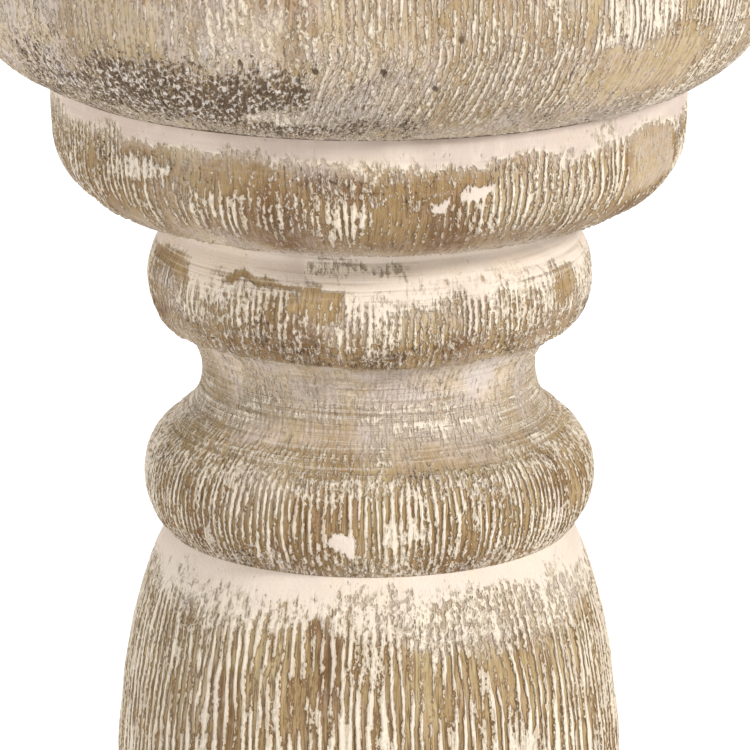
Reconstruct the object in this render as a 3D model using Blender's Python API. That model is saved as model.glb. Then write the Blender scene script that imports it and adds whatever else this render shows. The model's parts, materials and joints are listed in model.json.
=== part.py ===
"""A turned wooden pillar candlestick, 305 mm to its rim, with a metal pan and a spike for the candle.

Seven turned wood sections stand on each other, each with a short spigot that centres the next one.
A threaded rod with a nut and washer at each end draws them together. A screwed-on pan holds the
spike down by its flat head, and a felt disc closes the underside.

Lengths are in millimetres, heights are above the table, and the axis of the stick is +Z.
"""

import math

import bmesh
import bpy

MM = 0.001
FACETS = 40  # round each turned wood section and the pan
SMALL_FACETS = 20  # round the rod, nuts, washers, spike and screws
FIT = 0.3  # between pieces that touch
SMOOTH_BELOW = 35.0  # degrees between faces that are shaded as one surface

# Heights of the seams between the sections, and of the rim.
FOOT_BOTTOM = 2.8
FOOT_SEAM = 30.0
BASE_COLLAR_SEAM = 47.0
LOWER_SPINDLE_SEAM = 90.3
BALUSTER_SEAM = 199.2
NECK_SEAM = 249.1
COLLAR_SEAM = 270.0
RIM = 305.0

# The joint at each seam and the bore that all the sections share.
SPIGOT_R = 12.0
SPIGOT_H = 6.0
BORE_R = 4.5

# The cup, which the foot repeats upside down.
CUP_R = 63.5
BOWL_R = 21.0  # radius of the rounded underside
BOWL_CENTRE = (CUP_R - BOWL_R, COLLAR_SEAM + 20.3)
RIM_ROUND = 3.5
FOOT_CENTRE = (CUP_R - BOWL_R, 9.7)
FOOT_ROUND = 1.5

# Half-round collars under the cup and over the foot.
COLLAR_R = 48.3
COLLAR_NECK_R = 31.0
COLLAR_ROUND_H = 12.9
BASE_COLLAR_R = 49.0
BASE_COLLAR_ROUND_H = 11.0

# Beads, coves and flares as ellipses: radius of the centre, its height over the foot of the section,
# and the half sizes.
LOWER_SPINDLE_LOW_BEAD = (28.5, 7.0, 8.0, 8.0)
LOWER_SPINDLE_COVE = (31.0, 20.0, 8.5, 8.0)
LOWER_SPINDLE_TOP_BEAD = (25.0, 35.0, 6.6, 9.2)
BALUSTER_FLARE = (27.5, 13.7, 8.0, 12.4)
BALUSTER_SHOULDER = (22.0, 69.7, 16.87, 46.1)
BALUSTER_PULLS = (-28.0, 26.0)  # how long the taper stays upright under the belly and over the ankle
NECK_LOW_BEAD = (27.6, 7.8, 7.05, 9.1)
NECK_COVE = (32.3, 24.4, 6.9, 7.9)
NECK_TOP_BEAD = (27.5, 39.5, 6.4, 9.0)
NECK_FILLET_FOOT = 47.6

# The pan, its seat in the cup and the pocket below it.
SEAT_R = 51.0
SEAT_FLOOR = 298.0
PAN_SHEET = 1.2
PAN_WALL = 1.0
PAN_ROLL_R = 53.5
PAN_ROLL_H = 1.2
POCKET_R = 11.0
POCKET_FLOOR = 286.5
FOOT_POCKET_ROOF = 14.5

# The spike and its head, which the pan holds down.
SPIKE_R = 3.2
SPIKE_TIP = 323.5
SPIKE_HEAD_R = 14.0
SPIKE_HEAD_H = 1.6

# Tie rod, nuts and washers of 8 mm thread.
ROD_R = 3.9
ROD_BOTTOM = 4.5
ROD_TOP = 295.7
NUT_FLATS = 13.0
NUT_H = 6.5
NUT_BORE_R = ROD_R + FIT
WASHER_R = 9.0
WASHER_H = 1.6

# Countersunk screws in the pan.
SCREW_COUNT = 3
SCREW_CIRCLE_R = 32.0
SCREW_HEAD_R = 3.4
SCREW_HEAD_H = 1.8
SCREW_SHANK_R = 1.6
SCREW_LENGTH = 16.0
SCREW_SINK = 0.1  # how far the head lies under the pan's floor

FELT_R = 58.0
FELT_H = 2.5


def clear_scene():
    for obj in list(bpy.data.objects):
        bpy.data.objects.remove(obj, do_unlink=True)


def material(name, colour, roughness, metallic=0.0):
    """A Principled material of its own for one sub-part."""
    mat = bpy.data.materials.new(name)
    mat.use_nodes = True
    shader = mat.node_tree.nodes["Principled BSDF"]
    shader.inputs["Base Color"].default_value = (*colour, 1.0)
    shader.inputs["Roughness"].default_value = roughness
    shader.inputs["Metallic"].default_value = metallic
    return mat


def whitewashed(name):
    return material(name, (0.46, 0.36, 0.26), 0.75)


def dark_metal(name):
    return material(name, (0.16, 0.13, 0.10), 0.5, 1.0)


def zinc(name):
    return material(name, (0.55, 0.55, 0.53), 0.35, 1.0)


def arc(centre, half_sizes, start, end, steps):
    """Points on an ellipse in the (radius, height) plane, between two angles in degrees."""
    points = []
    for step in range(steps + 1):
        angle = math.radians(start + (end - start) * step / steps)
        points.append(
            (
                centre[0] + half_sizes[0] * math.cos(angle),
                centre[1] + half_sizes[1] * math.sin(angle),
            )
        )
    return points


def angle_at(height, centre_height, half_height):
    """The angle at which an ellipse's outer side passes a height."""
    return math.degrees(math.asin((height - centre_height) / half_height))


def placed(ellipse, foot):
    """The centre and half sizes of a bead, cove or flare of the section that stands at foot."""
    radius, over_foot, half_width, half_height = ellipse
    return (radius, foot + over_foot), (half_width, half_height)


def taper(start, end, pull_start, pull_end, steps):
    """An S-shaped taper that leaves both ends upright, as a cubic Bezier."""
    points = []
    for step in range(1, steps + 1):
        t = step / steps
        weights = ((1 - t) ** 3, 3 * t * (1 - t) ** 2, 3 * t**2 * (1 - t), t**3)
        radii = (start[0], start[0], end[0], end[0])
        heights = (start[1], start[1] + pull_start, end[1] + pull_end, end[1])
        points.append(
            (
                sum(w * r for w, r in zip(weights, radii, strict=True)),
                sum(w * h for w, h in zip(weights, heights, strict=True)),
            )
        )
    return points


def lathe(name, outline, mat, facets=FACETS):
    """A solid turned from a closed outline of (radius, height) points."""
    mesh = bmesh.new()
    corners = [mesh.verts.new((r * MM, 0.0, z * MM)) for r, z in outline]
    for here, there in zip(corners, corners[1:] + corners[:1], strict=True):
        if here.co.x > 0.0 or there.co.x > 0.0:
            mesh.edges.new((here, there))
    bmesh.ops.spin(
        mesh,
        geom=mesh.verts[:] + mesh.edges[:],
        axis=(0.0, 0.0, 1.0),
        cent=(0.0, 0.0, 0.0),
        angle=math.tau,
        steps=facets,
        use_duplicate=False,
    )
    bmesh.ops.remove_doubles(mesh, verts=mesh.verts[:], dist=0.001 * MM)
    bmesh.ops.recalc_face_normals(mesh, faces=mesh.faces[:])
    data = bpy.data.meshes.new(name)
    mesh.to_mesh(data)
    mesh.free()
    data.shade_smooth()
    data.set_sharp_from_angle(angle=math.radians(SMOOTH_BELOW))
    data.materials.append(mat)
    obj = bpy.data.objects.new(name, data)
    bpy.context.scene.collection.objects.link(obj)
    return obj


def spigot(seam):
    """The top of a section, from its shoulder over the spigot to the bore."""
    shoulder = seam - FIT
    return [
        (SPIGOT_R, shoulder),
        (SPIGOT_R, shoulder + SPIGOT_H),
        (BORE_R, shoulder + SPIGOT_H),
    ]


def socket(seam):
    """The underside of a section, from the bore over the socket to its rim."""
    return [
        (BORE_R, seam + SPIGOT_H),
        (SPIGOT_R + FIT, seam + SPIGOT_H),
        (SPIGOT_R + FIT, seam),
    ]


def base_foot():
    centre_r, centre_z = FOOT_CENTRE
    top_angle = angle_at(FOOT_SEAM - FIT, centre_z, BOWL_R)
    outline = [(BORE_R, FOOT_POCKET_ROOF), (POCKET_R, FOOT_POCKET_ROOF), (POCKET_R, FOOT_BOTTOM)]
    corner = (CUP_R - FOOT_ROUND, FOOT_BOTTOM + FOOT_ROUND)
    outline += arc(corner, (FOOT_ROUND, FOOT_ROUND), -90.0, 0.0, 3)
    outline += arc((centre_r, centre_z), (BOWL_R, BOWL_R), 0.0, top_angle, 9)
    lathe("base_foot", outline + spigot(FOOT_SEAM), whitewashed("base_foot_wood"))


def base_collar():
    """A quarter-round, widest at its foot."""
    top = BASE_COLLAR_SEAM - FIT
    half = (BASE_COLLAR_R - COLLAR_NECK_R, BASE_COLLAR_ROUND_H)
    outline = socket(FOOT_SEAM) + [(BASE_COLLAR_R, FOOT_SEAM)]
    outline += arc((COLLAR_NECK_R, top - BASE_COLLAR_ROUND_H), half, 0.0, 84.0, 9)
    outline += spigot(BASE_COLLAR_SEAM)
    lathe("base_collar", outline, whitewashed("base_collar_wood"))


def lower_spindle():
    """A large bead, a cove and a smaller bead."""
    foot = BASE_COLLAR_SEAM
    low_bead, low_half = placed(LOWER_SPINDLE_LOW_BEAD, foot)
    cove, cove_half = placed(LOWER_SPINDLE_COVE, foot)
    top_bead, top_half = placed(LOWER_SPINDLE_TOP_BEAD, foot)
    outline = socket(foot)
    start = angle_at(foot, low_bead[1], low_half[1])
    outline += arc(low_bead, low_half, start, 55.0, 7)
    outline += arc(cove, cove_half, 245.0, 115.0, 8)
    end = angle_at(LOWER_SPINDLE_SEAM - FIT, top_bead[1], top_half[1])
    outline += arc(top_bead, top_half, -55.0, end, 7)
    outline += spigot(LOWER_SPINDLE_SEAM)
    lathe("lower_spindle", outline, whitewashed("lower_spindle_wood"))


def baluster():
    """A long vase, fullest at a third of its height from the top, over a flared ankle."""
    foot = LOWER_SPINDLE_SEAM
    flare_centre, flare_half = placed(BALUSTER_FLARE, foot)
    shoulder, shoulder_half = placed(BALUSTER_SHOULDER, foot)
    ankle = (flare_centre[0] - flare_half[0], flare_centre[1])
    belly = (shoulder[0] + shoulder_half[0], shoulder[1])
    flare = arc(flare_centre, flare_half, 180.0, 250.0, 4)
    outline = socket(foot) + [(flare[-1][0], foot)]
    outline += flare[:0:-1]
    rise = taper(belly, ankle, *BALUSTER_PULLS, 10)
    outline += rise[::-1]
    end = angle_at(BALUSTER_SEAM - FIT, shoulder[1], shoulder_half[1])
    outline += arc(shoulder, shoulder_half, 0.0, end, 9)
    lathe("baluster", outline + spigot(BALUSTER_SEAM), whitewashed("baluster_wood"))


def neck_spindle():
    """A bead, a cove and a second bead, under a short fillet."""
    foot = BALUSTER_SEAM
    low_bead, low_half = placed(NECK_LOW_BEAD, foot)
    cove, cove_half = placed(NECK_COVE, foot)
    top_bead, top_half = placed(NECK_TOP_BEAD, foot)
    outline = socket(foot)
    start = angle_at(foot, low_bead[1], low_half[1])
    outline += arc(low_bead, low_half, start, 72.0, 8)
    outline += arc(cove, cove_half, 250.0, 110.0, 9)
    end = angle_at(foot + NECK_FILLET_FOOT, top_bead[1], top_half[1])
    outline += arc(top_bead, top_half, -68.0, end, 8)
    outline += [(COLLAR_NECK_R, NECK_SEAM - FIT)]
    lathe("neck_spindle", outline + spigot(NECK_SEAM), whitewashed("neck_spindle_wood"))


def upper_collar():
    """A quarter-round, widest at its top."""
    half = (COLLAR_R - COLLAR_NECK_R, COLLAR_ROUND_H)
    outline = socket(NECK_SEAM)
    outline += arc((COLLAR_NECK_R, NECK_SEAM + COLLAR_ROUND_H), half, -86.0, 0.0, 9)
    outline += [(COLLAR_R, COLLAR_SEAM - FIT)]
    lathe("upper_collar", outline + spigot(COLLAR_SEAM), whitewashed("upper_collar_wood"))


def candle_cup():
    """A shallow cup with a rounded underside and a stepped seat for pan, spike head and nut."""
    start = angle_at(COLLAR_SEAM, BOWL_CENTRE[1], BOWL_R)
    outline = socket(COLLAR_SEAM)
    outline += arc(BOWL_CENTRE, (BOWL_R, BOWL_R), start, 0.0, 9)
    corner = (CUP_R - RIM_ROUND, RIM - RIM_ROUND)
    outline += arc(corner, (RIM_ROUND, RIM_ROUND), 0.0, 90.0, 4)
    head_floor = SEAT_FLOOR - SPIKE_HEAD_H - FIT
    outline += [(SEAT_R, RIM), (SEAT_R, SEAT_FLOOR)]
    outline += [(SPIKE_HEAD_R + FIT, SEAT_FLOOR), (SPIKE_HEAD_R + FIT, head_floor)]
    outline += [(POCKET_R, head_floor), (POCKET_R, POCKET_FLOOR), (BORE_R, POCKET_FLOOR)]
    return lathe("candle_cup", outline, whitewashed("candle_cup_wood"))


def drip_pan():
    """A sheet dish whose edge is rolled over the cup's inner edge."""
    under = SEAT_FLOOR + FIT
    floor = under + PAN_SHEET
    wall_r = SEAT_R - 0.4
    roll_bottom = RIM + FIT
    roll_top = roll_bottom + PAN_ROLL_H
    outline = [(SPIKE_R + FIT, floor), (SPIKE_R + FIT, under), (wall_r, under)]
    outline += [(wall_r, roll_bottom), (PAN_ROLL_R, roll_bottom)]
    roll = (PAN_ROLL_R, (roll_bottom + roll_top) / 2)
    outline += arc(roll, (PAN_ROLL_H / 2, PAN_ROLL_H / 2), -45.0, 90.0, 4)
    inner_r = wall_r - PAN_WALL
    outline += arc((inner_r + 1.0, roll_top - 1.0), (1.0, 1.0), 90.0, 180.0, 3)
    outline += arc((inner_r - 2.0, floor + 2.0), (2.0, 2.0), 0.0, -90.0, 3)
    return lathe("drip_pan", outline, dark_metal("drip_pan_metal"))


def pricket_spike():
    """A long tapered nail, point up, whose flat head lies between the cup and the pan."""
    head_bottom = SEAT_FLOOR - SPIKE_HEAD_H
    outline = [
        (0.0, head_bottom),
        (SPIKE_HEAD_R, head_bottom),
        (SPIKE_HEAD_R, SEAT_FLOOR),
        (SPIKE_R, SEAT_FLOOR),
        (SPIKE_R, SEAT_FLOOR + 4.0),
        (0.35, SPIKE_TIP - 0.5),
        (0.0, SPIKE_TIP),
    ]
    lathe("pricket_spike", outline, dark_metal("pricket_spike_metal"), SMALL_FACETS)


def screw_outline(gap):
    """A countersunk wood screw, from its point up, or the hole for it when gap is over zero."""
    top = SEAT_FLOOR + FIT + PAN_SHEET - SCREW_SINK
    point = top - SCREW_LENGTH
    return [
        (0.0, point - gap),
        (SCREW_SHANK_R + gap, point + 2.0),
        (SCREW_SHANK_R + gap, top - SCREW_HEAD_H),
        (SCREW_HEAD_R + gap, top),
        (SCREW_HEAD_R + gap, top + gap),
        (0.0, top + gap),
    ]


def pan_screws(cut_pieces):
    """The screws at equal angles, each with its hole cut from the pan and the cup."""
    for number in range(SCREW_COUNT):
        angle = math.radians(90.0) + math.tau * number / SCREW_COUNT
        place = (
            SCREW_CIRCLE_R * MM * math.cos(angle),
            SCREW_CIRCLE_R * MM * math.sin(angle),
            0.0,
        )
        name = f"pan_screw_{number + 1}"
        metal = dark_metal(f"{name}_metal")
        body = screw_outline(0.0)
        del body[4]
        screw = lathe(name, body, metal, SMALL_FACETS)
        screw.location = place
        cutter = lathe(f"{name}_hole", screw_outline(FIT), metal, SMALL_FACETS)
        cutter.location = place
        cutter.hide_render = True
        cutter.display_type = "WIRE"
        for piece in cut_pieces:
            hole = piece.modifiers.new(f"{name}_hole", "BOOLEAN")
            hole.operation = "DIFFERENCE"
            hole.solver = "EXACT"
            hole.object = cutter


def washer(name, bottom):
    outline = [
        (NUT_BORE_R, bottom),
        (WASHER_R, bottom),
        (WASHER_R, bottom + WASHER_H),
        (NUT_BORE_R, bottom + WASHER_H),
    ]
    lathe(name, outline, zinc(f"{name}_metal"), SMALL_FACETS)


def nut(name, bottom):
    """A six-sided nut: a turned ring whose outer points are drawn out to flats."""
    facets = 24
    flat_r = NUT_FLATS / 2
    top = bottom + NUT_H
    outline = [(NUT_BORE_R, bottom), (flat_r, bottom), (flat_r, top), (NUT_BORE_R, top)]
    obj = lathe(name, outline, zinc(f"{name}_metal"), facets)
    sixth = math.tau / 6
    for vert in obj.data.vertices:
        radius = math.hypot(vert.co.x, vert.co.y)
        if radius > (NUT_BORE_R + flat_r) / 2 * MM:
            from_flat = math.atan2(vert.co.y, vert.co.x) % sixth - sixth / 2
            vert.co.x /= math.cos(from_flat)
            vert.co.y /= math.cos(from_flat)


def tie_rod():
    outline = [(0.0, ROD_BOTTOM), (ROD_R, ROD_BOTTOM), (ROD_R, ROD_TOP), (0.0, ROD_TOP)]
    lathe("tie_rod", outline, zinc("tie_rod_metal"), SMALL_FACETS)


def tie_rod_ends():
    """A washer against the wood and a nut on it, in the cup's pocket and in the foot's."""
    washer_bottom = POCKET_FLOOR + FIT
    washer("tie_rod_top_washer", washer_bottom)
    nut("tie_rod_top_nut", washer_bottom + WASHER_H + FIT)
    washer_bottom = FOOT_POCKET_ROOF - FIT - WASHER_H
    washer("tie_rod_bottom_washer", washer_bottom)
    nut("tie_rod_bottom_nut", washer_bottom - FIT - NUT_H)


def base_felt():
    outline = [(0.0, 0.0), (FELT_R, 0.0), (FELT_R, FELT_H), (0.0, FELT_H)]
    lathe("base_felt", outline, material("base_felt_cloth", (0.09, 0.06, 0.04), 1.0))


def build():
    clear_scene()
    base_felt()
    base_foot()
    base_collar()
    lower_spindle()
    baluster()
    neck_spindle()
    upper_collar()
    cup = candle_cup()
    pan = drip_pan()
    pricket_spike()
    pan_screws((cup, pan))
    tie_rod()
    tie_rod_ends()


build()
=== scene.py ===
"""Looks of the whitewashed wooden candlestick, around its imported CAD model.

Each turned wood section gets a fine mesh on the CAD outline. Painted and bare areas, turning lines
and wear are laid out on it as vertex attributes, in mm along the surface from its upper seam (the
cup's from its lower one) and degrees round the stick, with 0 at the front. One set of nodes turns
them into brushed grain: the geometry nodes raise the paint with it, and the material colours with
it. The pan, spike, screws and felt get fine meshes too; the hidden rod, nuts and washers keep the
CAD's.
"""
import json
import math
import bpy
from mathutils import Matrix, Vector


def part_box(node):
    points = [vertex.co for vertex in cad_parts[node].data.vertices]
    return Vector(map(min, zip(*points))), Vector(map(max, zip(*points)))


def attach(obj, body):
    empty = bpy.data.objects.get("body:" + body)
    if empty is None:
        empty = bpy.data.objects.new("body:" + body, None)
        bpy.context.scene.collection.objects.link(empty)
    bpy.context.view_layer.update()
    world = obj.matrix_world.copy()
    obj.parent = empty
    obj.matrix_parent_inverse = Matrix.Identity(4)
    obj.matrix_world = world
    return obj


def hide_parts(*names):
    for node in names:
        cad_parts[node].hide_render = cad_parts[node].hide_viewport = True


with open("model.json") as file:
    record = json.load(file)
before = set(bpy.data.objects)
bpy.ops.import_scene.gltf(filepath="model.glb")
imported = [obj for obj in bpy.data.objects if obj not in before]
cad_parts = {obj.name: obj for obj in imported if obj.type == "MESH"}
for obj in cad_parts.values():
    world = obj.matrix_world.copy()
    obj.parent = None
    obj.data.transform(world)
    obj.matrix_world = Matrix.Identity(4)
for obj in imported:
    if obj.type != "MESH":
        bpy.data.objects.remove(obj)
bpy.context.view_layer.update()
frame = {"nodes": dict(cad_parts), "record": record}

from types import SimpleNamespace

import bmesh
import bpy
import numpy as np
from mathutils import Vector

MM = 0.001
TAU = 2 * math.pi

CORNER = 38.0  # degrees of turn from which an outline keeps a corner
ROUNDING = 0.8  # mm over which the corners of the wood are worn round
LIP = 0.22  # mm that the wood reaches into the gap at each of its seams

# Colours as they look, in hex digits: bare wood, the paint rubbed thin on it, dirt and painted shade,
# and paint.
PALE_WOOD = "B6A27B"
MID_WOOD = "9B8158"
DARK_WOOD = "6E4F2E"
ROSY_WOOD = "A78468"
PORE = "5E4226"
VEIL = "C8B69B"
ROSY_VEIL = "D0BFB0"
GREY_VEIL = "CBBFB8"
# Dirt and painted shade in a thin dark line along the paint's edges.
GRIME_AND_EDGE_SHADE = "6A4A28"
# Painted shadow on one flank of each streak, as if cast by the raised paint.
PAINTED_STREAK_SHADOW = "573C20"
STREAK_PAINT = "DED1BD"
FLAT_PAINT = "DBCCBD"
YELLOWED_PAINT = "D8C8B2"
# Paint dulled where the tone is high; on the collar under the cup this is painted shade.
DULL_AND_SHADED_PAINT = "B9A79C"
PINK_PAINT = "D2C4B7"
DUSTY_PAINT = "C6B49C"
SHEER_PAINT = "B79E7A"
SPECK = "6A4C2E"
HOLLOW = "4E3B28"
FLAKE = "DDD2C8"
CUT_LINE = "49351F"
DARK_RING = "86704F"
PALE_RING = "DDCFBE"
RUST = "6E4A30"
SPUN_RING = "8C7A64"
DARK_FELT = "2E2119"
PALE_FELT = "5A4334"

# Relief of the wood, in mm.
PAINT_HEIGHT = 0.26
STREAK_HEIGHT = 0.3
RING_HEIGHT = 0.16
GROOVE_DEPTH = 0.22
PIT_DEPTH = 0.12
RELIEF_BASE = -0.16  # keeps the relief's middle on the CAD outline

# Noises on the grain: mm around, mm along, detail, roughness, and a shift that sets each apart.
NOISES = {
    "line": (0.7, 7, 1, 0.4, 0),
    "drift": (4, 16, 0, 0.5, 61),
    "jitter": (1.6, 5, 0, 0.5, 67),
    "force": (2.2, 9, 0, 0.5, 71),
    "blotch": (0.8, 1.4, 2, 0.55, 7.3),
    "fibre": (0.26, 6, 1, 0.5, 3.1),
    "crumb": (0.36, 0.7, 1, 0.5, 11.7),
    "turning": (26, 0.5, 2, 0.7, 5.9),
    "fine": (0.22, 0.5, 1, 0.6, 17),
    "pores": (0.3, 3.2, 0, 0.5, 23),
    "cloud": (7, 12, 2, 0.6, 31),
    "tint": (3, 5, 2, 0.6, 41),
    "grey": (11, 8, 2, 0.5, 83),
    "crust": (0.55, 0.85, 2, 0.6, 97),
}
SECTION_SHIFT = 97.0  # mm of grain between one wood section and the next


# ---- outlines of the CAD nodes

def outline_loop(node):
    """The closed outline of a turned node as (radius, height) points in mm, in order."""
    mesh = frame["nodes"][node].data
    near = {}
    for edge in mesh.edges:
        ends = []
        for index in edge.vertices:
            co = mesh.vertices[index].co
            if abs(co.y) < 2e-6 and co.x > 0:
                ends.append((round(co.x / MM, 3), round(co.z / MM, 3)))
        if len(ends) == 2 and ends[0] != ends[1]:
            near.setdefault(ends[0], set()).add(ends[1])
            near.setdefault(ends[1], set()).add(ends[0])
    start = min(near)
    loop = [start]
    previous, here = start, min(near[start])
    while here != start:
        loop.append(here)
        previous, here = here, min(p for p in near[here] if p != previous)
    return loop


def split_loop(loop, inner):
    """The run of the outline beyond radius inner, and the rest of it, both in the outline's order."""
    outside = [p[0] > inner for p in loop]
    first = next(i for i in range(len(loop)) if outside[i] and not outside[i - 1])
    turned = loop[first:] + loop[:first]
    count = next(i for i, p in enumerate(turned) if p[0] <= inner)
    return turned[:count], turned[count:]


def slopes_along(part, along):
    """How a curve moves for each mm along it, at each of its points."""
    if len(part) == 2:
        return np.repeat((part[1:] - part[:1]) / along[-1], 2, axis=0)
    slopes = np.zeros_like(part)
    slopes[1:-1] = (part[2:] - part[:-2]) / (along[2:] - along[:-2])[:, None]
    slopes[0] = 2 * (part[1] - part[0]) / (along[1] - along[0]) - slopes[1]
    slopes[-1] = 2 * (part[-1] - part[-2]) / (along[-1] - along[-2]) - slopes[-2]
    return slopes


def smooth_run(run, rows):
    """Rows points along a run of outline, on a smooth curve between its corners."""
    points = np.array(run, float)
    steps = np.diff(points, axis=0)
    lengths = np.hypot(*steps.T)
    headings = np.degrees(np.arctan2(steps[:, 1], steps[:, 0]))
    turns = np.abs((np.diff(headings) + 180) % 360 - 180)
    cuts = [0] + [i + 1 for i, turn in enumerate(turns) if turn > CORNER] + [len(points) - 1]
    result = []
    for low, high in zip(cuts, cuts[1:]):
        part = points[low:high + 1]
        along = np.concatenate([[0], np.cumsum(lengths[low:high])])
        count = max(2, int(round(rows * along[-1] / lengths.sum())))
        target = np.linspace(0, along[-1], count + 1)
        slopes = slopes_along(part, along)
        cell = np.clip(np.searchsorted(along, target, side="right") - 1, 0, len(part) - 2)
        span = (along[cell + 1] - along[cell])[:, None]
        t = ((target - along[cell]) / span[:, 0])[:, None]
        curve = (
            (2 * t**3 - 3 * t**2 + 1) * part[cell]
            + (t**3 - 2 * t**2 + t) * span * slopes[cell]
            + (3 * t**2 - 2 * t**3) * part[cell + 1]
            + (t**3 - t**2) * span * slopes[cell + 1]
        )
        result.append(curve if not result else curve[1:])
    return np.concatenate(result)


def soften(run, wide):
    """Rounds the corners of a run of outline over about wide mm, and keeps its two ends."""
    spacing = np.hypot(*np.diff(run, axis=0).T).mean()
    reach = int(3 * wide / spacing)
    offsets = np.arange(-reach, reach + 1)
    weights = np.exp(-0.5 * (offsets * spacing / wide) ** 2)
    head = 2 * run[0] - run[reach:0:-1]
    tail = 2 * run[-1] - run[-2:-reach - 2:-1]
    padded = np.concatenate([head, run, tail])
    middle = [np.convolve(padded[:, k], weights / weights.sum(), mode="valid") for k in (0, 1)]
    return np.stack(middle, -1)


# ---- meshes

def shade_smooth(mesh, sharp):
    """Shades a mesh smooth, but for edges that turn by more than so many degrees."""
    mesh.polygons.foreach_set("use_smooth", np.ones(len(mesh.polygons), bool))
    mesh.set_sharp_from_angle(angle=math.radians(sharp))


def turned_mesh(name, rings, columns):
    """A closed body turned from a closed loop of (radius, height) rings, in mm, from the front on."""
    angles = np.arange(columns) * TAU / columns
    x = rings[:, :1] * np.sin(angles) * MM
    y = -rings[:, :1] * np.cos(angles) * MM
    z = np.repeat(rings[:, 1:], columns, axis=1) * MM
    vertices = np.stack([x, y, z], axis=-1).reshape(-1, 3)
    row = np.arange(len(rings))[:, None]
    column = np.arange(columns)[None, :]
    below = (row + 1) % len(rings)
    right = (column + 1) % columns
    corners = ((row, column), (below, column), (below, right), (row, right))
    faces = np.stack([r * columns + c for r, c in corners], axis=-1).reshape(-1, 4)
    mesh = bpy.data.meshes.new(name)
    mesh.vertices.add(len(vertices))
    mesh.vertices.foreach_set("co", vertices.ravel())
    mesh.loops.add(faces.size)
    mesh.loops.foreach_set("vertex_index", faces.ravel())
    mesh.polygons.add(len(faces))
    mesh.polygons.foreach_set("loop_start", np.arange(len(faces)) * 4)
    mesh.update(calc_edges=True)
    mesh.validate()
    shade_smooth(mesh, 60)
    return mesh


def add_object(name, data):
    obj = bpy.data.objects.new(name, data)
    bpy.context.scene.collection.objects.link(obj)
    return obj


def apply_modifiers(piece):
    """Makes what the modifiers give the piece's own mesh."""
    bpy.context.view_layer.update()
    graph = bpy.context.evaluated_depsgraph_get()
    piece.data = bpy.data.meshes.new_from_object(piece.evaluated_get(graph), depsgraph=graph)
    piece.modifiers.clear()


def set_values(mesh, name, kind, domain, values):
    """An attribute of the vertices or the face corners."""
    attribute = mesh.attributes.new(name, kind, domain)
    member = "vector" if kind == "FLOAT_VECTOR" else "value"
    attribute.data.foreach_set(member, values.astype(np.float32).ravel())


# ---- fields on a turned surface

NOISE_BLUR = 0.35  # share of a blob's size over which the noise is blurred
LEAN_REACH = 22.0  # mm over which leaning grain goes on leaning
SEAM_REACH = 0.3  # mm to each side
HOLE_R = 0.42  # mm
HOLE_DEPTH = 2.6  # times GROOVE_DEPTH, as for every line and seam


def smooth_noise(rng, rows, columns, row_mm, column_mm, along, around):
    """Noise of unit size that runs on round the stick, with blobs of along by around mm."""
    spare = int(4 * along / row_mm) + 8  # rows that keep the two ends from meeting
    noise = rng.standard_normal((rows + spare, columns))
    waves_along = np.fft.fftfreq(rows + spare, row_mm)[:, None] * along
    waves_around = np.fft.fftfreq(columns, column_mm)[None, :] * around
    passed = np.exp(-2 * (np.pi * NOISE_BLUR) ** 2 * (waves_along**2 + waves_around**2))
    field = np.fft.ifft2(np.fft.fft2(noise) * passed).real[:rows]
    return (field - field.mean()) / field.std()


def step(x, low, high):
    t = np.clip((x - low) / (high - low), 0, 1)
    return t * t * (3 - 2 * t)


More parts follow.
